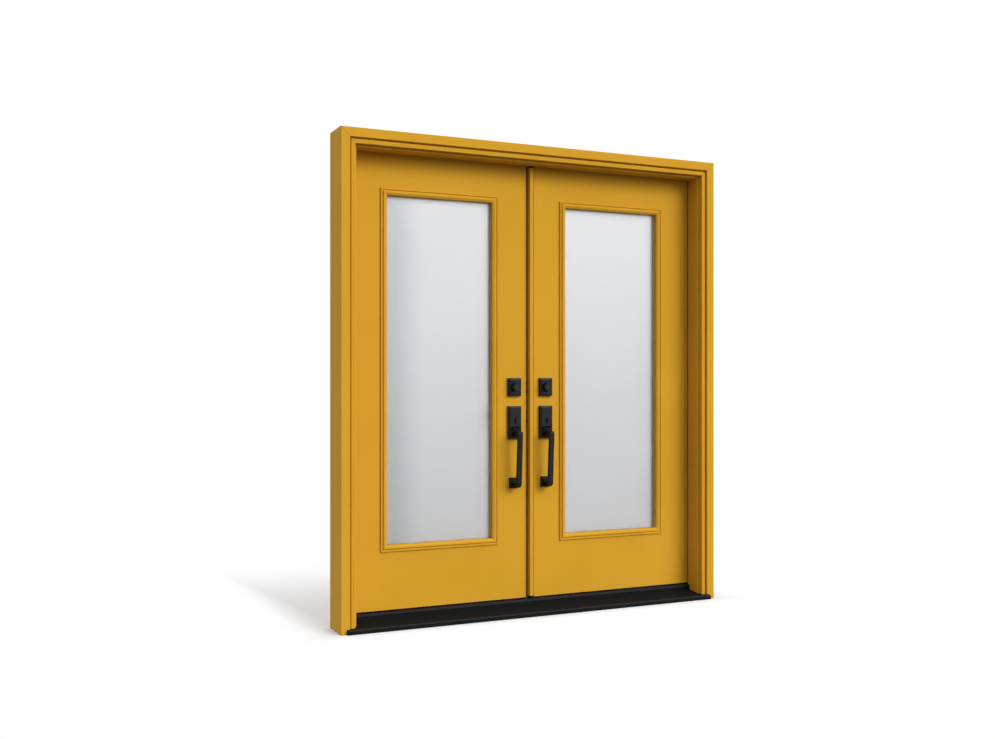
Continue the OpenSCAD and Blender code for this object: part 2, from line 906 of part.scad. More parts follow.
module thumb_piece(x) {
    tail = 4;
    half = thumb_t / 2;
    bend = [trim_t + 0.35 * thumb_out, -0.2 * thumb_drop];
    tip = [trim_t + thumb_out - half, -thumb_drop];
    color(black)
        on_face(x, thumb_z)
            union() {
                intersection() {
                    along_x(thumb_w)
                        union() {
                            translate([tail, -half])
                                square([trim_t - tail, thumb_t]);
                            hull() {
                                translate([trim_t - half, -half])
                                    square([half, thumb_t]);
                                translate(bend)
                                    circle(r = half);
                            }
                            hull() {
                                translate(bend)
                                    circle(r = half);
                                translate(tip)
                                    circle(r = half);
                            }
                        }
                    thumb_plan();
                }
                translate([-thumb_w / 2 - pivot_end, thumb_pivot_y, 0])
                    rod_x(pivot_r, thumb_w + 2 * pivot_end);
            }
}

// Plan of the thumb piece: straight in its slot, with round corners at the tip
module thumb_plan() {
    corner = 8;
    end = trim_t + thumb_out;
    translate([0, 0, -2 * thumb_drop])
        linear_extrude(4 * thumb_drop)
            hull() {
                translate([-thumb_w / 2, 0])
                    square([thumb_w, 1]);
                for (k = [-1, 1])
                    translate([k * (thumb_w / 2 - corner), end - corner])
                        circle(r = corner);
            }
}

// Side view of the grip: two arms and the bar between them, with round corners in front
module grip_outline(top, low) {
    top_r = 7;
    low_r = 24;
    inner = 4;
    difference() {
        hull() {
            translate([trim_t, top - arm_h])
                square([1, arm_h]);
            translate([grip_out_top - top_r, top - top_r])
                circle(r = top_r);
            translate([grip_out_low - low_r, low + low_r])
                circle(r = low_r);
            translate([foot_t - 2, low])
                square([1, arm_h]);
        }
        polygon([
            [0, low + arm_h], [grip_out_low - grip_t - inner, low + arm_h],
            [grip_out_low - grip_t, low + arm_h + inner],
            [grip_out_top - grip_t, top - arm_h - inner],
            [grip_out_top - grip_t - inner, top - arm_h], [0, top - arm_h]
        ]);
        translate([0, top - arm_h - 1])
            square([trim_t, arm_h + 2]);
    }
}

// Grip cast in one piece: leaning bar, two arms and the square foot
module grip(x) {
    top = -grip_down;
    low = top - grip_len;
    lean = atan2(grip_out_top - grip_out_low, grip_len);
    color(black)
        on_face(x, latch_z) {
            difference() {
                along_x(grip_w)
                    grip_outline(top, low);
                for (k = [-1, 1])
                    translate([k * grip_w / 2, (grip_out_top + grip_out_low) / 2, (top + low) / 2])
                        rotate([-lean, 0, 0])
                            rotate([0, 0, 45])
                                cube([sqrt(2) * grip_bevel, sqrt(2) * grip_bevel, 2 * grip_len], center = true);
            }
            translate([0, 0, low + arm_h / 2 + 8])
                trim_block(foot_w, foot_w, foot_t, 2, 2);
        }
}

// Inside rose with a round hole for what turns in it
module inside_rose(x, z, r) {
    color(black)
        on_back(x, z)
            difference() {
                trim_block(rose_w, rose_w, rose_t, 2, 2);
                if (r > 0)
                    translate([0, -1, 0])
                        rod_y(r + slide, rose_t + 2);
            }
}

// Lever pointing to the left, with a round end and a turned neck
neck_r = 10;

module lever(x) {
    color(black)
        on_back(x, latch_z)
            union() {
                translate([0, 0.5, 0])
                    rod_y(neck_r, lever_out - 1.5);
                translate([0, lever_out - lever_t, 0])
                    along_y(lever_t)
                        union() {
                            circle(d = lever_h + 4);
                            translate([lever_h / 2 - lever_len, -lever_h / 2])
                                square([lever_len - lever_h / 2, lever_h]);
                            translate([lever_h / 2 - lever_len, 0])
                                circle(d = lever_h);
                        }
            }
}

// Thumbturn: a turned neck and an oblong paddle
turn_r = 8;

module thumbturn(x) {
    paddle_h = 36;
    paddle_w = 11;
    paddle_out = 30;
    color(black)
        on_back(x, deadbolt_z)
            union() {
                translate([0, 0.5, 0])
                    rod_y(turn_r, paddle_out - 14);
                translate([0, rose_t + 3, 0])
                    along_y(paddle_out - rose_t - 3)
                        union() {
                            square([paddle_w, paddle_h - paddle_w], center = true);
                            for (k = [-1, 1])
                                translate([0, k * (paddle_h - paddle_w) / 2])
                                    circle(d = paddle_w);
                        }
            }
}

// Plate on the edge of a leaf with a square hole for a bolt
module edge_plate(x, z, hole) {
    translate([x, leaf_mid_y, z])
        difference() {
            cube([edge_plate_t, edge_plate_w, edge_plate_h], center = true);
            cube([edge_plate_t + 2, bolt_w + 2 * hole, bolt_h + 2 * hole], center = true);
        }
}

module lock_faceplates() {
    color(black)
        for (z = [latch_z, deadbolt_z])
            edge_plate(left_x1 - edge_plate_t / 2, z, slide);
}

module strike_plates() {
    color(black)
        for (z = [latch_z, deadbolt_z])
            edge_plate(right_x0 + edge_plate_t / 2, z, 1);
}

// Deadbolt, drawn back so that its end lies just inside the faceplate
module deadbolt() {
    tip = 1.5;
    end = left_x1 - 0.5;
    color("#8d9094")
        translate([0, leaf_mid_y, deadbolt_z - bolt_h / 2])
            linear_extrude(bolt_h)
                polygon([
                    [end - bolt_len, -bolt_w / 2], [end - tip, -bolt_w / 2], [end, tip - bolt_w / 2],
                    [end, bolt_w / 2 - tip], [end - tip, bolt_w / 2], [end - bolt_len, bolt_w / 2]
                ]);
}

// Spring latch, its nose sloped on the side that leads as the leaf closes
module latch() {
    end = left_x1 + latch_out;
    color("#8d9094")
        translate([0, leaf_mid_y, latch_z - bolt_h / 2])
            linear_extrude(bolt_h)
                polygon([
                    [end - bolt_len, -bolt_w / 2], [end - latch_out, -bolt_w / 2], [end, bolt_w / 2 - 3],
                    [end, bolt_w / 2], [end - bolt_len, bolt_w / 2]
                ]);
}

// Astragal on the outside face of the right leaf, flush with its meeting edge, with a quirk in its front
module astragal() {
    r = 3;
    quirk_w = 2.5;
    y0 = leaf_y0 - astragal_out;
    x1 = right_x0 + astragal_w;
    color(paint)
        translate([0, 0, astragal_z0])
            linear_extrude(astragal_z1 - astragal_z0)
                difference() {
                    union() {
                        translate([right_x0, y0 + r])
                            square([astragal_w, astragal_out - r]);
                        translate([right_x0 + r, y0])
                            square([astragal_w - 2 * r, astragal_out]);
                        for (x = [right_x0 + r, x1 - r])
                            translate([x, y0 + r])
                                circle(r = r);
                    }
                    translate([x1 - r - quirk_w, y0 - 1])
                        square([quirk_w, quirk_w + 2]);
                }
}

// Soft pads that close the ends of the astragal
module astragal_pads() {
    y0 = leaf_y0 - astragal_out + 1;
    x0 = right_x0 + 1;
    x1 = right_x0 + astragal_w - 1;
    color(rubber) {
        box([x0, y0, astragal_z0 - pad_h], [x1, leaf_y0, astragal_z0]);
        box([x0, y0, astragal_z1], [x1, leaf_y0, astragal_z1 + 7]);
    }
}

// Flush bolt with its thumb tab, pointing up and ending just inside the leaf
module flush_bolt() {
    tip = 1.5;
    color("#8d9094")
        union() {
            translate([flush_x, leaf_mid_y, 0])
                rotate_extrude()
                    polygon([
                        [0, -flush_len], [flush_r, -flush_len], [flush_r, -1 - tip],
                        [flush_r - tip, -1], [0, -1]
                    ]);
            box([right_x0 + 1.5, leaf_mid_y - 3, flush_tab_up - flush_len],
                [flush_x, leaf_mid_y + 3, flush_tab_up + flush_tab_h - flush_len]);
        }
}

module top_flush_bolt() {
    translate([0, 0, leaf_z1])
        flush_bolt();
}

module bottom_flush_bolt() {
    translate([0, 0, leaf_z0])
        mirror([0, 0, 1])
            flush_bolt();
}

side_jamb();  // left_jamb
mirror([1, 0, 0]) side_jamb();  // right_jamb
head_jamb();
casing_leg();  // left_casing
mirror([1, 0, 0]) casing_leg();  // right_casing
head_casing();
sill_deck();
sill_core();
threshold_cap();
side_strip();  // left_weatherstrip
mirror([1, 0, 0]) side_strip();  // right_weatherstrip
head_weatherstrip();
hinge_jamb_plates();  // left_hinge_jamb_plates
mirror([1, 0, 0]) hinge_jamb_plates();  // right_hinge_jamb_plates
hinge_pins();  // left_hinge_pins
mirror([1, 0, 0]) hinge_pins();  // right_hinge_pins
left_slab();
outer_lite_frame(left_mid);  // left_outer_lite_frame
inner_lite_frame(left_mid);  // left_inner_lite_frame
glass_panes(left_mid);  // left_glass_panes
glass_spacer(left_mid);  // left_glass_spacer
sweep(left_x0, left_x1, false);  // left_sweep
hinge_leaf_plates();  // left_hinge_leaf_plates
meeting_seal();
deadbolt_plate(left_lock_x);  // left_deadbolt_plate
deadbolt_cylinder(left_lock_x);  // left_deadbolt_cylinder
handle_plate(left_lock_x);  // left_handle_plate
grip(left_lock_x);  // left_grip
inside_rose(left_lock_x, deadbolt_z, turn_r);  // left_deadbolt_rose
inside_rose(left_lock_x, latch_z, neck_r);  // left_lever_rose
lock_faceplates();  // left_lock_faceplates
key_plug(left_lock_x);  // left_key_plug
thumbturn(left_lock_x);  // left_thumbturn
deadbolt();  // left_deadbolt
thumb_piece(left_lock_x);  // left_thumb_piece
lever(left_lock_x);  // left_lever
latch();  // left_latch
right_slab();
outer_lite_frame(right_mid);  // right_outer_lite_frame
inner_lite_frame(right_mid);  // right_inner_lite_frame
glass_panes(right_mid);  // right_glass_panes
glass_spacer(right_mid);  // right_glass_spacer
sweep(right_x0, right_x1, true);  // right_sweep
mirror([1, 0, 0]) hinge_leaf_plates();  // right_hinge_leaf_plates
deadbolt_plate(right_lock_x);  // right_deadbolt_plate
deadbolt_cylinder(right_lock_x);  // right_deadbolt_cylinder
key_plug(right_lock_x);  // right_key_plug
handle_plate(right_lock_x);  // right_handle_plate
grip(right_lock_x);  // right_grip
thumb_piece(right_lock_x);  // right_thumb_piece
inside_rose(right_lock_x, deadbolt_z, 0);  // right_deadbolt_rose
inside_rose(right_lock_x, latch_z, neck_r);  // right_lever_rose
mirror([1, 0, 0]) lever(-right_lock_x);  // right_lever
strike_plates();
astragal();
astragal_pads();
top_flush_bolt();
bottom_flush_bolt();
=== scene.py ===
# %% [markdown]
# # A yellow double door, dressed step by step
#
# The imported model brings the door's real solids: the frame, the two leaves, the glass, the locks
# and the hinges. This lesson gives each of them its finish, and adds what is too small or too soft
# for the solids: screws, plugs and rubber seals. Everything is in metres, and nothing from the
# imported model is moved.

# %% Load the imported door
import json
import math

import bmesh
import bpy
from mathutils import Matrix, Vector


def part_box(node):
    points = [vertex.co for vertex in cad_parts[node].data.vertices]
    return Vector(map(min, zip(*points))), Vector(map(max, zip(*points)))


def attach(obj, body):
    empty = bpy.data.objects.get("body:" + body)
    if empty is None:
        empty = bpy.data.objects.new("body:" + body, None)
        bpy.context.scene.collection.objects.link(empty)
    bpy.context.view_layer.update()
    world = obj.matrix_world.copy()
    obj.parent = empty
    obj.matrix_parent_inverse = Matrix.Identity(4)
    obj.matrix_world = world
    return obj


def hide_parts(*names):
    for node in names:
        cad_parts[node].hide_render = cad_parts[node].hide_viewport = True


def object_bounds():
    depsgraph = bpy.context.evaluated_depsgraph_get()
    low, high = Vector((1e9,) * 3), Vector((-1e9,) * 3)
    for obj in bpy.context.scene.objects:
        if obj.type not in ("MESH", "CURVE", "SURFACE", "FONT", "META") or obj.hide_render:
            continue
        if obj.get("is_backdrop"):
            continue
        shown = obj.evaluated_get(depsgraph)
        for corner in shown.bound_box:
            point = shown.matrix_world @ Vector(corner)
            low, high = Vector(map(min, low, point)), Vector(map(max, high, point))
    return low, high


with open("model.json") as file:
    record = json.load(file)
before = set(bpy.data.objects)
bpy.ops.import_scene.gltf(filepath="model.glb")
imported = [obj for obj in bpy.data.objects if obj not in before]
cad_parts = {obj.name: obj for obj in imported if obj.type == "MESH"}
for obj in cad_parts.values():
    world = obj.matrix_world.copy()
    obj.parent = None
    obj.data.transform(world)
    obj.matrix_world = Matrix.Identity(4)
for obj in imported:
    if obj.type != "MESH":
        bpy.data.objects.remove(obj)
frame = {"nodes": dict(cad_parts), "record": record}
cad_low, cad_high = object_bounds()
nodes = frame["nodes"]
scene = bpy.context.scene
print("nodes:", len(nodes), "box:", [round(v, 3) for v in (*cad_low, *cad_high)])

# %% [markdown]
# ## The camera
# The door was seen from the left, at chest height, with the camera held level so that every upright
# stays upright. One could point the camera at the door by eye. Here its place and lens come from the
# corners of the frame, so each edge falls where it should in a picture of 995 by 739 pixels.

# %% Place the camera
SENSOR_WIDTH = 36.0
IMAGE_WIDTH = 995
FOCAL_PIXELS = 1100.3
HORIZON_BELOW_MIDDLE = 11.19
CAMERA_PLACE = Vector((-2.2964, -4.5024, 1.0722))
HEADING = math.radians(24.85)

camera_data = bpy.data.cameras.new("camera")
camera_data.sensor_width = SENSOR_WIDTH
camera_data.lens = SENSOR_WIDTH * FOCAL_PIXELS / IMAGE_WIDTH
camera_data.shift_y = HORIZON_BELOW_MIDDLE / IMAGE_WIDTH
camera = bpy.data.objects.new("camera", camera_data)
camera.location = CAMERA_PLACE
camera.rotation_euler = (math.pi / 2, 0.0, -HEADING)
scene.collection.objects.link(camera)
scene.camera = camera
print("lens:", round(camera_data.lens, 2), "mm, shift:", round(camera_data.shift_y, 4))

# %% [markdown]
# ## Floor and light
# A studio picture on white has two parts: light from everywhere, which fills the shadows, and broad
# lamps that give the forms their shading. One lamp stands high in front, so the shadow falls straight
# back, and one stands to the right. Suns with a wide disc give an even light with soft shadows. The
# world is plain white to the camera. For lighting it is brighter above than below, so the frosted
# glass pales towards its top, and brighter behind the door than in front, so the recess round the
# leaves stays dark. The floor is left out of the bounce for the same reason. It is white paper that
# turns into a painted white glow away from the door, which washes out the shadow there, so the shadow
# stays near its foot.

# %% Floor
FLOOR_SIZE = 60.0

floor_shape = bmesh.new()
bmesh.ops.create_grid(floor_shape, x_segments=1, y_segments=1, size=FLOOR_SIZE / 2)
floor_mesh = bpy.data.meshes.new("floor")
floor_shape.to_mesh(floor_mesh)
floor_shape.free()
floor = bpy.data.objects.new("floor", floor_mesh)
scene.collection.objects.link(floor)
floor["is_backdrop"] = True

floor.visible_diffuse = False
floor.visible_transmission = False
print("floor:", FLOOR_SIZE, "m")

# %% Floor finish
# Painted light: away from the door the floor glows white, washing out the door's shadow behind it and
# the shade in front of the sill.
PAPER = (0.66, 0.66, 0.66, 1.0)
FADE_SIDE = (cad_high.x - 0.02, cad_high.x + 0.20)
FADE_BACK = (cad_high.y + 0.26, cad_high.y + 1.70)
FADE_FRONT = (cad_low.y + 0.06, cad_low.y - 0.08)

floor_finish = bpy.data.materials.new("floor_white")
floor_finish.use_nodes = True
paper = floor_finish.node_tree
paper_skin = paper.nodes["Principled BSDF"]
paper_skin.inputs["Base Color"].default_value = PAPER
paper_skin.inputs["Roughness"].default_value = 0.85
paper_skin.inputs["Specular IOR Level"].default_value = 0.1


def fade(place, edges):
    share = paper.nodes.new("ShaderNodeMapRange")
    share.interpolation_type = "SMOOTHSTEP"
    share.inputs["From Min"].default_value, share.inputs["From Max"].default_value = edges
    paper.links.new(place, share.inputs["Value"])
    return share.outputs["Result"]


def combine(operation, *values):
    result = paper.nodes.new("ShaderNodeMath")
    result.operation = operation
    for socket, value in zip(result.inputs, values):
        paper.links.new(value, socket)
    return result.outputs["Value"]


spot = paper.nodes.new("ShaderNodeSeparateXYZ")
paper.links.new(paper.nodes.new("ShaderNodeTexCoord").outputs["Object"], spot.inputs["Vector"])
sideways = fade(combine("ABSOLUTE", spot.outputs["X"]), FADE_SIDE)
lengthwise = combine("MAXIMUM", fade(spot.outputs["Y"], FADE_BACK), fade(spot.outputs["Y"], FADE_FRONT))
# Painted white glow that covers the shadow away from the door.
painted_glow, faded = paper.nodes.new("ShaderNodeEmission"), paper.nodes.new("ShaderNodeMixShader")
painted_glow.inputs["Color"].default_value = (1.0, 1.0, 1.0, 1.0)
paper.links.new(combine("MAXIMUM", sideways, lengthwise), faded.inputs["Fac"])
paper.links.new(paper_skin.outputs["BSDF"], faded.inputs[1])
paper.links.new(painted_glow.outputs["Emission"], faded.inputs[2])
paper.links.new(faded.outputs["Shader"], paper.nodes["Material Output"].inputs["Surface"])
floor_mesh.materials.append(floor_finish)
print("floor fades from", [round(v, 2) for v in (*FADE_SIDE, *FADE_BACK, *FADE_FRONT)])

# %% World
FRONT_LOW, FRONT_HIGH = (0.15, 0.15, 0.15, 1.0), (0.70, 0.70, 0.705, 1.0)
BACK_LOW, BACK_HIGH = (0.28, 0.28, 0.285, 1.0), (1.55, 1.55, 1.57, 1.0)
UPWARD_SPAN, BACKWARD_SPAN = (-0.3, 0.5), (-0.5, 0.5)

scene.view_settings.view_transform = "Standard"
scene.view_settings.look = "None"
world = bpy.data.worlds.new("studio")
scene.world = world
world.use_nodes = True
sky = world.node_tree.nodes
sky_link = world.node_tree.links.new
sky.clear()
direction = sky.new("ShaderNodeSeparateXYZ")
sky_link(sky.new("ShaderNodeTexCoord").outputs["Generated"], direction.inputs["Vector"])


def share_along(axis, span):
    share = sky.new("ShaderNodeMapRange")
    share.inputs["From Min"].default_value, share.inputs["From Max"].default_value = span
    sky_link(direction.outputs[axis], share.inputs["Value"])
    return share.outputs["Result"]


def blend_tones(share, first, second):
    tone = sky.new("ShaderNodeMix")
    tone.data_type = "RGBA"
    sky_link(share, tone.inputs["Factor"])
    for socket, value in (("A", first), ("B", second)):
        if isinstance(value, tuple):
            tone.inputs[socket].default_value = value
        else:
            sky_link(value, tone.inputs[socket])
    return tone.outputs["Result"]


upward, backward = share_along("Z", UPWARD_SPAN), share_along("Y", BACKWARD_SPAN)
in_front = blend_tones(upward, FRONT_LOW, FRONT_HIGH)
behind = blend_tones(upward, BACK_LOW, BACK_HIGH)
lighting, seen = sky.new("ShaderNodeBackground"), sky.new("ShaderNodeBackground")
sky_link(blend_tones(backward, in_front, behind), lighting.inputs["Color"])
seen.inputs["Color"].default_value = (1.0, 1.0, 1.0, 1.0)
which = sky.new("ShaderNodeMixShader")
sky_link(sky.new("ShaderNodeLightPath").outputs["Is Camera Ray"], which.inputs["Fac"])
sky_link(lighting.outputs["Background"], which.inputs[1])
sky_link(seen.outputs["Background"], which.inputs[2])
sky_link(which.outputs["Shader"], sky.new("ShaderNodeOutputWorld").inputs["Surface"])
print("world:", len(sky), "nodes")

# %% Lamps
LAMPS = (
    ("front_lamp", Vector((0.28, -0.76, 0.57)), 1.1, 24.0),
    ("right_lamp", Vector((0.60, -0.72, 0.36)), 1.8, 34.0),
)
for name, toward, power, spread in LAMPS:
    lamp_data = bpy.data.lights.new(name, "SUN")
    lamp_data.energy = power
    lamp_data.angle = math.radians(spread)
    lamp = bpy.data.objects.new(name, lamp_data)
    lamp.rotation_mode = "QUATERNION"
    lamp.rotation_quaternion = toward.to_track_quat("Z", "Y")
    scene.collection.objects.link(lamp)
    print(name, power, "spread", spread)

# %% [markdown]
# ## How a finish is put together
# Each finish is one Principled shader fed by noise on Object coordinates. Object coordinates are in
# metres on every piece here, so a noise scale of 400 gives grains of about two and a half
# millimetres on every piece alike. A few small helpers keep the recipes short: noise, a blend of
# two tones, a spread of roughness, and relief.

# %% Helpers for finishes
TONE_SPAN = (0.3, 0.7)
ROUGH_SPAN = (0.25, 0.75)


def start_finish(name):
    finish = bpy.data.materials.new(name)
    finish.use_nodes = True
    tree = finish.node_tree
    tree.nodes.clear()
    out = tree.nodes.new("ShaderNodeOutputMaterial")
    skin = tree.nodes.new("ShaderNodeBsdfPrincipled")
    tree.links.new(skin.outputs["BSDF"], out.inputs["Surface"])
    return finish, tree, skin


def grain(tree, scale, detail, stretch=(1.0, 1.0, 1.0)):
    where = tree.nodes.new("ShaderNodeTexCoord")
    mapping = tree.nodes.new("ShaderNodeMapping")
    mapping.inputs["Scale"].default_value = stretch
    noise = tree.nodes.new("ShaderNodeTexNoise")
    noise.inputs["Scale"].default_value = scale
    noise.inputs["Detail"].default_value = detail
    tree.links.new(where.outputs["Object"], mapping.inputs["Vector"])
    tree.links.new(mapping.outputs["Vector"], noise.inputs["Vector"])
    return noise.outputs["Fac"]


def two_tones(tree, skin, amount, first, second):
    ramp = tree.nodes.new("ShaderNodeValToRGB")
    for stop, position, tone in zip(ramp.color_ramp.elements, TONE_SPAN, (first, second)):
        stop.position = position
        stop.color = (*tone, 1.0)
    tree.links.new(amount, ramp.inputs["Fac"])
    tree.links.new(ramp.outputs["Color"], skin.inputs["Base Color"])


def rough_from(tree, skin, amount, low, high):
    spread = tree.nodes.new("ShaderNodeMapRange")
    spread.inputs["From Min"].default_value, spread.inputs["From Max"].default_value = ROUGH_SPAN
    spread.inputs["To Min"].default_value = low
    spread.inputs["To Max"].default_value = high
    tree.links.new(amount, spread.inputs["Value"])
    tree.links.new(spread.outputs["Result"], skin.inputs["Roughness"])


def relief(tree, skin, height, depth, strength, under=None):
    bump = tree.nodes.new("ShaderNodeBump")
    bump.inputs["Strength"].default_value = strength
    bump.inputs["Distance"].default_value = depth
    tree.links.new(height, bump.inputs["Height"])
    if under is not None:
        tree.links.new(under, bump.inputs["Normal"])
    tree.links.new(bump.outputs["Normal"], skin.inputs["Normal"])
    return bump.outputs["Normal"]


print("helpers ready")

# %% [markdown]
# ## Yellow paint
# The frame and the leaves are sprayed with a satin mustard paint. Up close sprayed paint has a
# slight orange peel, and the timber of the frame still lifts faint lines along its length. One
# function makes both: the lines run up the side pieces and across the head, and are fainter on the
# leaves.

# %% Paint
PAINT_SHADE = (0.585, 0.303, 0.0235)
PAINT_LIGHT = (0.622, 0.328, 0.0275)
FRAME_LINES, LEAF_LINES = 0.00006, 0.00003


def paint_finish(name, along, lines):
    finish, tree, skin = start_finish(name)
    two_tones(tree, skin, grain(tree, 2.4, detail=3.0), PAINT_SHADE, PAINT_LIGHT)
    rough_from(tree, skin, grain(tree, 60.0, detail=2.0), low=0.36, high=0.46)
    skin.inputs["Specular IOR Level"].default_value = 0.006
    peel = relief(tree, skin, grain(tree, 420.0, detail=1.0), depth=0.00005, strength=0.35)
    stretch = tuple(0.02 if axis == along else 1.0 for axis in "XYZ")
    relief(tree, skin, grain(tree, 260.0, 2.0, stretch), depth=lines, strength=0.4, under=peel)
    return finish


paint_upright = paint_finish("yellow_paint_upright", "Z", FRAME_LINES)
paint_across = paint_finish("yellow_paint_across", "X", FRAME_LINES)
paint_leaf = paint_finish("yellow_paint_leaf", "Z", LEAF_LINES)
print("paint:", paint_upright.name, paint_across.name, paint_leaf.name)

# %% [markdown]
# ## Frosted glass
# Acid-etched glass lets light through and blurs everything behind it. A Principled shader with
# transmission and a high roughness does the same, and the two panes of the sealed unit blur the view
# twice. The tone is painted darker towards the hinge edge of the left leaf, a painted shade that
# follows X there, with a soft cloud added. A very fine relief keeps the surface from looking like
# plastic.

# %% Glass
# Painted shade: the glass is darker near the hinge edge of the left pane, along X; the cloud is random
# tone.
SHADE_EDGE_X, SHADE_END_X = -0.74, -0.50
SHADED_SHARE, UNSHADED_SHARE = 0.05, 0.55
CLOUD_SHARE = 0.3
GLASS_DARK_CLOUD_AND_SHADE, GLASS_PALE_TONE = (0.79, 0.80, 0.805), (0.925, 0.93, 0.935)


# Mixes a painted shade, darker towards the left pane's hinge edge, with a random cloud.
def paint_shade_across(tree, cloud):
    where = tree.nodes.new("ShaderNodeTexCoord")
    split = tree.nodes.new("ShaderNodeSeparateXYZ")
    share = tree.nodes.new("ShaderNodeMapRange")
    share.interpolation_type = "SMOOTHSTEP"
    total = tree.nodes.new("ShaderNodeMath")
    total.operation = "MULTIPLY_ADD"
    total.inputs[1].default_value = CLOUD_SHARE
    tree.links.new(where.outputs["Object"], split.inputs["Vector"])
    tree.links.new(split.outputs["X"], share.inputs["Value"])
    share.inputs["From Min"].default_value = SHADE_EDGE_X
    share.inputs["From Max"].default_value = SHADE_END_X
    share.inputs["To Min"].default_value = SHADED_SHARE
    share.inputs["To Max"].default_value = UNSHADED_SHARE
    tree.links.new(cloud, total.inputs[0])
    tree.links.new(share.outputs["Result"], total.inputs[2])
    return total.outputs["Value"]


glass, tree, skin = start_finish("frosted_glass")
two_tones(tree, skin, paint_shade_across(tree, grain(tree, 1.6, detail=2.0)), GLASS_DARK_CLOUD_AND_SHADE, GLASS_PALE_TONE)
rough_from(tree, skin, grain(tree, 900.0, detail=1.0), low=0.36, high=0.46)
skin.inputs["Transmission Weight"].default_value = 0.9
skin.inputs["IOR"].default_value = 1.5
skin.inputs["Specular IOR Level"].default_value = 0.4
relief(tree, skin, grain(tree, 1400.0, detail=1.0), depth=0.00003, strength=0.3)
print("glass:", glass.name)

# %% [markdown]
# ## Black metal, rubber, steel and the rest
# The sill is a black anodised extrusion, drawn lengthwise, so its fine streaks run along X. Faces of
# its nose that look forwards and up are painted paler, a painted highlight on the arris, and its cap is
# satin.
# The handles and hinges have a powder coat with an even fine grain. Seals are dull foam, bolts are
# brushed steel, and the filler of the sill is a flecked board. All of these are a dark or plain tone
# with a grain, so one function makes them from a few values.

# %% Sill and hardware
def grained_finish(name, tones, rough, fine, depth, stretch=(1.0, 1.0, 1.0), metal=0.0, gloss=0.2):
    finish, tree, skin = start_finish(name)
    two_tones(tree, skin, grain(tree, 18.0, 3.0, stretch), *tones)
    rough_from(tree, skin, grain(tree, 140.0, 2.0, stretch), *rough)
    skin.inputs["Metallic"].default_value = metal
    skin.inputs["Specular IOR Level"].default_value = gloss
    relief(tree, skin, grain(tree, fine, 1.0, stretch), depth, strength=0.5)
    return finish


# Painted highlight: the base colour is lightened where the normal faces the given way.
HIGHLIGHT_START, HIGHLIGHT_FULL = 0.90, 0.97


def paint_arris_highlight(finish, facing, tone):
    tree = finish.node_tree
    base = next(node for node in tree.nodes if node.type == "BSDF_PRINCIPLED").inputs["Base Color"]
    where = tree.nodes.new("ShaderNodeTexCoord")
    along = tree.nodes.new("ShaderNodeVectorMath")
    along.operation = "DOT_PRODUCT"
    along.inputs[1].default_value = Vector(facing).normalized()
    share = tree.nodes.new("ShaderNodeMapRange")
    share.inputs["From Min"].default_value = HIGHLIGHT_START
    share.inputs["From Max"].default_value = HIGHLIGHT_FULL
    blend = tree.nodes.new("ShaderNodeMix")
    blend.data_type = "RGBA"
    blend.inputs["B"].default_value = (*tone, 1.0)
    tree.links.new(where.outputs["Normal"], along.inputs[0])
    tree.links.new(along.outputs["Value"], share.inputs["Value"])
    tree.links.new(share.outputs["Result"], blend.inputs["Factor"])
    tree.links.new(base.links[0].from_socket, blend.inputs["A"])
    tree.links.new(blend.outputs["Result"], base)


DRAWN = (0.03, 1.0, 1.0)
black_sill = grained_finish(
    "black_anodised", ((0.0090, 0.0094, 0.0099), (0.0116, 0.0120, 0.0126)),
    rough=(0.46, 0.60), fine=520.0, depth=0.00004, stretch=DRAWN, gloss=0.015)
# Painted highlight on the nose's arris, on faces that look forwards and up.
paint_arris_highlight(black_sill, facing=(0.0, -1.0, 1.0), tone=(0.025, 0.025, 0.0252))
black_cap = grained_finish(
    "black_cap_satin", ((0.0066, 0.0067, 0.0070), (0.0090, 0.0092, 0.0096)),
    rough=(0.34, 0.46), fine=520.0, depth=0.00004, stretch=DRAWN, gloss=0.25)
black_hardware = grained_finish(
    "black_powder_coat", ((0.0042, 0.0044, 0.0048), (0.0062, 0.0064, 0.007)),
    rough=(0.38, 0.5), fine=700.0, depth=0.00006, gloss=0.17)
key_metal = grained_finish(
    "blackened_key_plug", ((0.03, 0.03, 0.032), (0.05, 0.05, 0.053)),
    rough=(0.3, 0.42), fine=900.0, depth=0.00003, stretch=(1.0, 1.0, 0.1), metal=0.7)
steel = grained_finish(
    "brushed_steel", ((0.5, 0.5, 0.505), (0.58, 0.58, 0.585)),
    rough=(0.24, 0.38), fine=600.0, depth=0.00003, stretch=(0.05, 1.0, 1.0), metal=1.0)
spacer_metal = grained_finish(
    "spacer_aluminium", ((0.5, 0.51, 0.52), (0.56, 0.57, 0.58)),
    rough=(0.38, 0.5), fine=500.0, depth=0.00004, metal=1.0)
foam = grained_finish(
    "black_seal_foam", ((0.0035, 0.0035, 0.0037), (0.006, 0.006, 0.0063)),
    rough=(0.68, 0.82), fine=1500.0, depth=0.00015, gloss=0.06)
sill_board = grained_finish(
    "sill_board", ((0.014, 0.012, 0.010), (0.034, 0.029, 0.024)),
    rough=(0.7, 0.85), fine=240.0, depth=0.0002)
print("finishes:", len(bpy.data.materials))

# %% [markdown]
# ## Give every solid its finish
# The record names a material slot for each node, so one dictionary is enough. The head of the frame
# takes the paint whose lines run across, and the leaves take the smoother one.

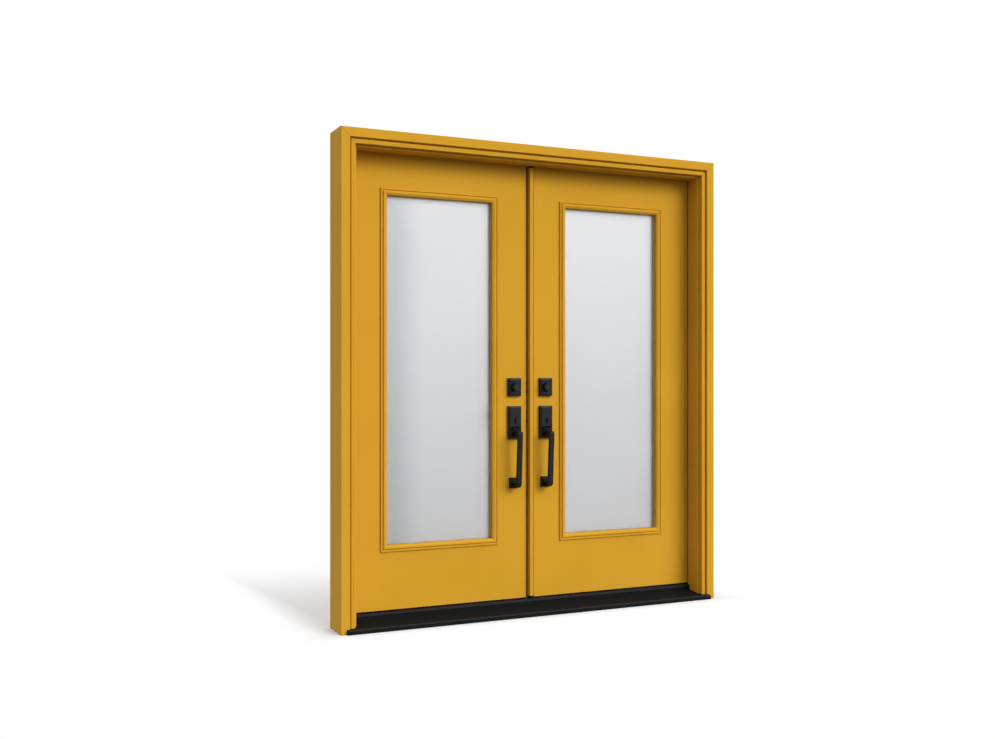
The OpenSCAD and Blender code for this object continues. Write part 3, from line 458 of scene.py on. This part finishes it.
# %% Assign
FINISH_OF = {
    "yellow_paint": paint_upright, "frosted_glass": glass, "black_sill": black_sill,
    "sill_core": sill_board, "black_seal": foam, "black_hardware": black_hardware,
    "key_plug": key_metal, "bolt_steel": steel, "spacer_bar": spacer_metal,
}
for part in frame["record"]["subparts"]:
    name, slot = part["node"], part["material_slot"]
    finish = FINISH_OF[slot]
    if name in ("head_jamb", "head_casing"):
        finish = paint_across
    if name == "threshold_cap":
        finish = black_cap
    if slot == "yellow_paint" and ("slab" in name or "lite" in name):
        finish = paint_leaf
    mesh = nodes[name].data
    mesh.materials.clear()
    mesh.materials.append(finish)

# %% [markdown]
# ## From a bmesh to a piece
# New pieces are shaped in a bmesh and end as objects at the origin, with their place in the mesh. A
# piece rides on the body that carries it, takes the slot of its finish, and may stand for a node.

# %% Helper for new pieces
def make_piece(name, shape, finish, body, stands_for=()):
    bmesh.ops.recalc_face_normals(shape, faces=shape.faces)
    mesh = bpy.data.meshes.new(name)
    shape.to_mesh(mesh)
    shape.free()
    mesh.materials.append(finish)
    piece = bpy.data.objects.new(name, mesh)
    scene.collection.objects.link(piece)
    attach(piece, body)
    if stands_for:
        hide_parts(*stands_for)
    print(name, "faces:", len(mesh.polygons))


def add_box(shape, low, high):
    low, high = Vector(low), Vector(high)
    size = Matrix.Diagonal((*(high - low), 1.0))
    made = bmesh.ops.create_cube(shape, size=1.0, matrix=Matrix.Translation((low + high) / 2) @ size)
    return made["verts"]


def edges_where(verts, test):
    found = {edge for vert in verts for edge in vert.link_edges}
    return [edge for edge in found if test(*(vert.co for vert in edge.verts))]


def round_edges(shape, edges, radius, steps):
    bmesh.ops.bevel(shape, geom=edges, offset=radius, offset_type="OFFSET", segments=steps,
                    profile=0.5, affect="EDGES", material=-1)


print("piece helpers ready")

# %% [markdown]
# ## Weatherstrips
# A foam bulb sits on each stop and is pressed by the closed leaf, and its barb holds it in a saw
# kerf. The node is an angular section, so the piece is a bar with its two outer corners rounded into
# a bulb. The corner edges run along the bar, so a test on their direction finds them.

# %% Weatherstrips
LEAST_RUN = 0.1
NEAR = 1e-4


def long_edge(axis, level_axis, level):
    def test(a, b):
        runs = abs(a[axis] - b[axis]) > LEAST_RUN
        return runs and abs(a[level_axis] - level) < NEAR and abs(b[level_axis] - level) < NEAR
    return test


BULB_ROUND = 0.0021
STRIP_BARB = 0.0085
BULB_SINK = 0.0005
for side in ("left", "right", "head"):
    name = side + "_weatherstrip"
    low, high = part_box(name)
    low = Vector((low.x, low.y + STRIP_BARB - BULB_SINK, low.z))
    run = 0 if side == "head" else 2
    strip = bmesh.new()
    verts = add_box(strip, low, high)
    round_edges(strip, edges_where(verts, long_edge(run, 1, high.y)), BULB_ROUND, steps=4)
    make_piece(name + "_bulb", strip, foam, "frame", (name,))

# %% [markdown]
# ## Meeting seal, sweeps and pads
# The seal on the meeting edge is a bulb too, and reaches a little further across the gap. The sweep
# under each leaf has a base and three thin fins that lean outwards where they touch the cap, so each
# fin is a thin bar, cut across once and bent. On the right leaf it is notched, to let the bottom flush
# bolt pass.

# %% Meeting seal
SEAL_REACH = 0.0023
SEAL_ROUND = 0.0035
low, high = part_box("meeting_seal")
high.x += SEAL_REACH
seal = bmesh.new()
verts = add_box(seal, low, high)
round_edges(seal, edges_where(verts, long_edge(2, 0, high.x)), SEAL_ROUND, steps=5)
make_piece("meeting_seal_bulb", seal, foam, "left_leaf", ("meeting_seal",))

# %% Sweeps
SWEEP_BASE = 0.0025
FIN_THICK = 0.0016
FIN_LEAN = 0.0012
FIN_SHARES = (0.05, 0.5, 0.95)
BOLT_ROOM = 0.0015


def add_sweep_run(sweep, low, high):
    add_box(sweep, (low.x, low.y, high.z - SWEEP_BASE), high)
    for share in FIN_SHARES:
        middle = low.y + share * (high.y - low.y)
        fin_low = Vector((low.x, middle - FIN_THICK / 2, low.z))
        fin_high = Vector((high.x, middle + FIN_THICK / 2, high.z - SWEEP_BASE))
        fin = add_box(sweep, fin_low, fin_high)
        faces = list({face for vert in fin for face in vert.link_faces})
        edges = list({edge for vert in fin for edge in vert.link_edges})
        half = Vector((0.0, middle, (fin_low.z + fin_high.z) / 2))
        bmesh.ops.bisect_plane(sweep, geom=fin + edges + faces, plane_co=half, plane_no=(0, 0, 1))
        for vert in fin:
            if abs(vert.co.z - fin_low.z) < NEAR:
                vert.co.y = max(low.y, vert.co.y - FIN_LEAN)


bolt_low, bolt_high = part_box("bottom_flush_bolt")
for side in ("left", "right"):
    low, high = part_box(side + "_sweep")
    ends = [low.x, high.x]
    if side == "right":
        ends[1:1] = [bolt_low.x - BOLT_ROOM, bolt_high.x + BOLT_ROOM]
    sweep = bmesh.new()
    for start, end in zip(ends[::2], ends[1::2]):
        add_sweep_run(sweep, Vector((start, low.y, low.z)), Vector((end, high.y, high.z)))
    make_piece(side + "_sweep_fins", sweep, foam, side + "_leaf", (side + "_sweep",))

# %% Astragal pads
PAD_ROUND = 0.0025
PAD_LEAST_HEIGHT = 0.004
low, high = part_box("astragal_pads")
astragal_low, astragal_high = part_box("astragal")
pads = bmesh.new()
for bottom, top in ((low.z, astragal_low.z), (astragal_high.z, high.z)):
    verts = add_box(pads, (low.x, low.y, bottom), (high.x, high.y, top))
    uprights = edges_where(verts, lambda a, b: abs(a.z - b.z) > PAD_LEAST_HEIGHT)
    round_edges(pads, uprights, PAD_ROUND, steps=3)
make_piece("astragal_end_pads", pads, foam, "right_leaf", ("astragal_pads",))

# %% [markdown]
# ## One screw, used many times
# Hinges, edge plates and roses are held by small countersunk screws. One could place a plain disc,
# but the cross recess is what the eye looks for. The head starts as a ring, a second ring inside it is
# pulled in between its four arms, the two are bridged, and the inner ring is pushed down.

# %% Screw head
SCREW_SEGMENTS = 16
CROSS_REACH = 0.56
CROSS_WAIST, CROSS_FLANK = 0.36, 0.42
CROSS_LIFT, CROSS_DEPTH = 1.4, 1.2


def screw_head(radius, rise):
    head = bmesh.new()
    rim = bmesh.ops.create_circle(head, segments=SCREW_SEGMENTS, radius=radius,
                                  matrix=Matrix.Translation((0, 0, rise)))["verts"]
    cross = bmesh.ops.create_circle(head, segments=SCREW_SEGMENTS, radius=radius * CROSS_REACH,
                                    matrix=Matrix.Translation((0, 0, rise * CROSS_LIFT)))["verts"]
    for number, vert in enumerate(cross):
        if number % 4:
            vert.co.xy *= CROSS_WAIST if number % 4 == 2 else CROSS_FLANK
    rim_edges = [edge for edge in head.edges if edge.verts[0] in rim]
    cross_edges = [edge for edge in head.edges if edge.verts[0] in cross]
    bmesh.ops.bridge_loops(head, edges=rim_edges + cross_edges)
    walls = bmesh.ops.extrude_edge_only(head, edges=cross_edges)["geom"]
    deep_verts = [item for item in walls if isinstance(item, bmesh.types.BMVert)]
    deep_edges = [item for item in walls if isinstance(item, bmesh.types.BMEdge)
                  and all(vert in deep_verts for vert in item.verts)]
    bmesh.ops.translate(head, verts=deep_verts, vec=(0, 0, -rise * CROSS_DEPTH))
    bmesh.ops.contextual_create(head, geom=deep_edges)
    skirt = bmesh.ops.extrude_edge_only(head, edges=rim_edges)["geom"]
    skirt_verts = [item for item in skirt if isinstance(item, bmesh.types.BMVert)]
    skirt_edges = [item for item in skirt if isinstance(item, bmesh.types.BMEdge)
                   and all(vert in skirt_verts for vert in item.verts)]
    bmesh.ops.translate(head, verts=skirt_verts, vec=(0, 0, -rise))
    bmesh.ops.contextual_create(head, geom=skirt_edges)
    bmesh.ops.recalc_face_normals(head, faces=head.faces)
    template = bpy.data.meshes.new("screw_template")
    head.to_mesh(template)
    head.free()
    return template


SCREW_RISE = 0.0004
HINGE_SCREW_RADIUS, PLATE_SCREW_RADIUS = 0.0042, 0.0036
SCREW_TURN = 0.7


def place_many(template, places, facing):
    turn = Vector(facing).to_track_quat("Z", "Y").to_matrix().to_4x4()
    shape = bmesh.new()
    for number, place in enumerate(places):
        known = len(shape.verts)
        shape.from_mesh(template)
        shape.verts.ensure_lookup_table()
        pose = Matrix.Translation(place) @ turn @ Matrix.Rotation(SCREW_TURN * number, 4, "Z")
        bmesh.ops.transform(shape, verts=shape.verts[known:], matrix=pose)
    return shape


hinge_screw = screw_head(HINGE_SCREW_RADIUS, SCREW_RISE)
plate_screw = screw_head(PLATE_SCREW_RADIUS, SCREW_RISE)
print("screw faces:", len(hinge_screw.polygons))

# %% [markdown]
# ## Hinge and plate screws
# A hinge plate has four screws in a zigzag, so that they don't split the timber along one line. They
# are only seen with a leaf open, and they sit on the faces that look into the gap.

# %% Hinge screws
HINGE_HALF = 0.051
EDGE_GAP = 0.003
ZIGZAG = ((0.010, 0.038), (0.024, 0.014), (0.010, -0.014), (0.024, -0.038))
for side, out in (("left", 1.0), ("right", -1.0)):
    low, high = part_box(side + "_hinge_jamb_plates")
    heights = (low.z + HINGE_HALF, (low.z + high.z) / 2, high.z - HINGE_HALF)
    slab_low, slab_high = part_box(side + "_slab")
    leaf_edge = slab_low.x if side == "left" else slab_high.x
    rabbet = leaf_edge - out * EDGE_GAP
    plates = (("jamb", "frame", rabbet, out), ("leaf", side + "_leaf", leaf_edge, -out))
    for name, body, x, facing in plates:
        places = [(x, low.y + step, height + up) for height in heights for step, up in ZIGZAG]
        shape = place_many(hinge_screw, places, (facing, 0, 0))
        make_piece(f"{side}_hinge_{name}_screws", shape, black_hardware, body)

# %% Edge plate and rose screws
PLATE_HALF = 0.029
PLATE_REACH = 0.0225
ROSE_REACH = 0.021
EDGE_PLATES = (("left_lock_faceplates", "left_leaf", 1.0), ("strike_plates", "right_leaf", -1.0))
ROSES = (
    ("left_deadbolt_rose", "left_leaf", (ROSE_REACH, 0)),
    ("left_lever_rose", "left_leaf", (0, ROSE_REACH)),
    ("right_lever_rose", "right_leaf", (0, ROSE_REACH)),
)
for name, body, facing in EDGE_PLATES:
    low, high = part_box(name)
    x = high.x if facing > 0 else low.x
    middle = (low.y + high.y) / 2
    centres = (low.z + PLATE_HALF, high.z - PLATE_HALF)
    places = [(x, middle, z + up) for z in centres for up in (-PLATE_REACH, PLATE_REACH)]
    shape = place_many(plate_screw, places, (facing, 0, 0))
    make_piece(name + "_screws", shape, black_hardware, body)

for name, body, (aside, up) in ROSES:
    low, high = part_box(name)
    x, z = (low.x + high.x) / 2, (low.z + high.z) / 2
    places = [(x + sign * aside, high.y, z + sign * up) for sign in (-1, 1)]
    shape = place_many(plate_screw, places, (0, 1, 0))
    make_piece(name + "_screws", shape, black_hardware, body)

# %% [markdown]
# ## Plugs on the glazing frames and caps behind the grips
# The two halves of a glazing frame are drawn together by screws from indoors, and small painted plugs
# close their holes. The foot of each grip is held by a bolt through the leaf, which ends indoors in a
# low round cap. Both are short turned forms: a low cone whose top edge is rounded.

# %% Plugs and caps
DOME_SEGMENTS = 24
DOME_TAPER = 0.96
DOME_ROUND = 0.6


def low_dome(radius, rise):
    dome = bmesh.new()
    bmesh.ops.create_cone(dome, cap_ends=True, segments=DOME_SEGMENTS, radius1=radius,
                          radius2=radius * DOME_TAPER, depth=rise,
                          matrix=Matrix.Translation((0, 0, rise / 2)))
    top = [edge for edge in dome.edges if all(vert.co.z > rise / 2 for vert in edge.verts)]
    round_edges(dome, top, rise * DOME_ROUND, steps=3)
    template = bpy.data.meshes.new("dome_template")
    dome.to_mesh(template)
    dome.free()
    return template


PLUG_INSET = 0.0163
PLUG_ROWS = 6
PLUG_RADIUS, PLUG_RISE = 0.0031, 0.0008
CAP_RADIUS, CAP_RISE = 0.0095, 0.0035
FOOT_MIDDLE = 0.024
plug = low_dome(PLUG_RADIUS, PLUG_RISE)
cap = low_dome(CAP_RADIUS, CAP_RISE)
for side in ("left", "right"):
    low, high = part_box(side + "_inner_lite_frame")
    inset = Vector((PLUG_INSET, 0, PLUG_INSET))
    near, far = low + inset, high - inset
    rows = [near.z + (far.z - near.z) * k / (PLUG_ROWS - 1) for k in range(PLUG_ROWS)]
    places = [(x, high.y, z) for x in (near.x, far.x) for z in rows]
    places += [((near.x + far.x) / 2, high.y, z) for z in (near.z, far.z)]
    shape = place_many(plug, places, (0, 1, 0))
    make_piece(side + "_lite_screw_plugs", shape, paint_leaf, side + "_leaf")
    grip_low, grip_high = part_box(side + "_grip")
    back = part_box(side + "_slab")[1].y
    foot = [((grip_low.x + grip_high.x) / 2, back, grip_low.z + FOOT_MIDDLE)]
    shape = place_many(cap, foot, (0, 1, 0))
    make_piece(side + "_grip_bolt_cap", shape, black_hardware, side + "_leaf")

# %% [markdown]
# ## Keep the sizes
# The dressed door has to stay in the box of the solids. Both boxes are printed, the solids' box at the
# start and the dressed door's box here.

# %% Sizes
low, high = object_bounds()
print("visual box:", [round(v, 3) for v in (*low, *high)])
